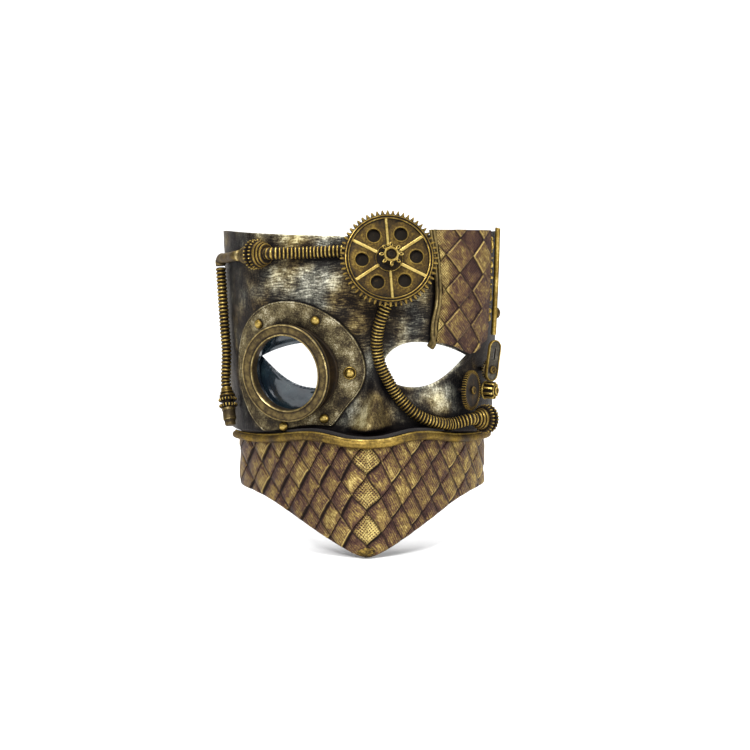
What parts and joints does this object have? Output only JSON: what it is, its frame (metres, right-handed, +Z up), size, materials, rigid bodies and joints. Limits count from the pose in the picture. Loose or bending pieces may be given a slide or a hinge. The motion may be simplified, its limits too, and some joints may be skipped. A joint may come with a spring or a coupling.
{
  "type": "steampunk masquerade mask",
  "caption": "Full-face masquerade mask with a round eyepiece on a riveted plate, ribbed hoses, gears on their own pins, woven brow and chin panels and a head strap.",
  "frame": {"origin": "centre of the nose pad's flat rear face, midway between the eye openings", "axes": "+Y towards the wearer's head, so the mask faces -Y; +X towards the wearer's left; +Z up the face"},
  "size_m": [0.1857, 0.1545, 0.2116],
  "materials": {
    "antique_bronze": "black with dry-brushed bronze and pale gold, satin",
    "antique_gold": "black with gold rubbed on the raised edges, satin",
    "woven_panel": "purple-brown woven strips with gold rubbed on their edges",
    "dark_metal": "darkened brass",
    "foam": "matt closed-cell foam",
    "elastic": "ribbed woven elastic"
  },
  "bodies": {
    "mask": {"face_shell": "antique_bronze", "chin_panel": "woven_panel", "lip_trim": "antique_gold", "brow_panel": "woven_panel", "brow_trim_inner": "antique_gold", "brow_trim_outer": "antique_gold", "eye_plate": "antique_bronze", "eye_barrel": "antique_gold", "plate_rivet_1": "antique_gold", "plate_rivet_2": "antique_gold", "plate_rivet_3": "antique_gold", "plate_rivet_4": "antique_gold", "plate_rivet_5": "antique_gold", "gear_spindle": "dark_metal", "gear_screw": "dark_metal", "top_hose": "antique_gold", "top_ferrule": "antique_gold", "top_collar": "antique_gold", "top_cone": "antique_gold", "elbow": "antique_gold", "side_hose": "antique_gold", "side_ferrule": "antique_gold", "side_collar": "antique_gold", "side_cone": "antique_gold", "face_hose": "antique_gold", "cheek_ferrule": "antique_gold", "cheek_collar": "antique_gold", "wheel_pin": "dark_metal", "pinion_arbor": "dark_metal", "lever_pin": "dark_metal", "nose_pad": "foam", "strap_rivet_left": "antique_gold", "strap_rivet_right": "antique_gold"},
    "bezel": {"eye_bezel": "antique_gold"},
    "forehead_gear": {"main_gear": "antique_gold", "main_pinion": "antique_gold"},
    "wheel": {"cheek_wheel": "antique_gold"},
    "pinion": {"cheek_pinion": "antique_gold"},
    "thin_gear": {"side_gear": "antique_gold"},
    "lever": {"slotted_lever": "antique_gold"},
    "head_strap": {"strap": "elastic", "strap_eyelet_left": "dark_metal", "strap_eyelet_right": "dark_metal"}
  },
  "joints": [
    {"name": "bezel_turn", "type": "hinge", "parent": "mask", "child": "bezel", "pos_m": [-0.045, 0.0009, -0.0038], "axis": [-0.4981, -0.8627, -0.0872], "continuous": true},
    {"name": "main_gear_spin", "type": "hinge", "parent": "mask", "child": "forehead_gear", "pos_m": [0.014, -0.0272, 0.0668], "axis": [0.0846, -0.9666, 0.2419], "continuous": true},
    {"name": "cheek_wheel_spin", "type": "hinge", "parent": "mask", "child": "wheel", "pos_m": [0.06736, 0.00705, -0.01686], "axis": [0.8829, -0.4695, 0], "continuous": true},
    {"name": "cheek_pinion_spin", "type": "hinge", "parent": "mask", "child": "pinion", "pos_m": [0.0788, 0.02699, -0.01813], "axis": [0.8524, -0.5211, -0.0431], "continuous": true},
    {"name": "side_gear_spin", "type": "hinge", "parent": "mask", "child": "thin_gear", "pos_m": [0.08077, 0.02285, -0.00488], "axis": [0.6157, -0.788, 0], "continuous": true},
    {"name": "lever_swing", "type": "hinge", "parent": "mask", "child": "lever", "pos_m": [0.08077, 0.02285, -0.00488], "axis": [0.6157, -0.788, 0], "range_deg": [-25, 25]},
    {"name": "strap_swing", "type": "hinge", "parent": "mask", "child": "head_strap", "pos_m": [0, 0.0605, 0.03], "axis": [1, 0, 0], "range_deg": [-50, 50]}
  ]
}
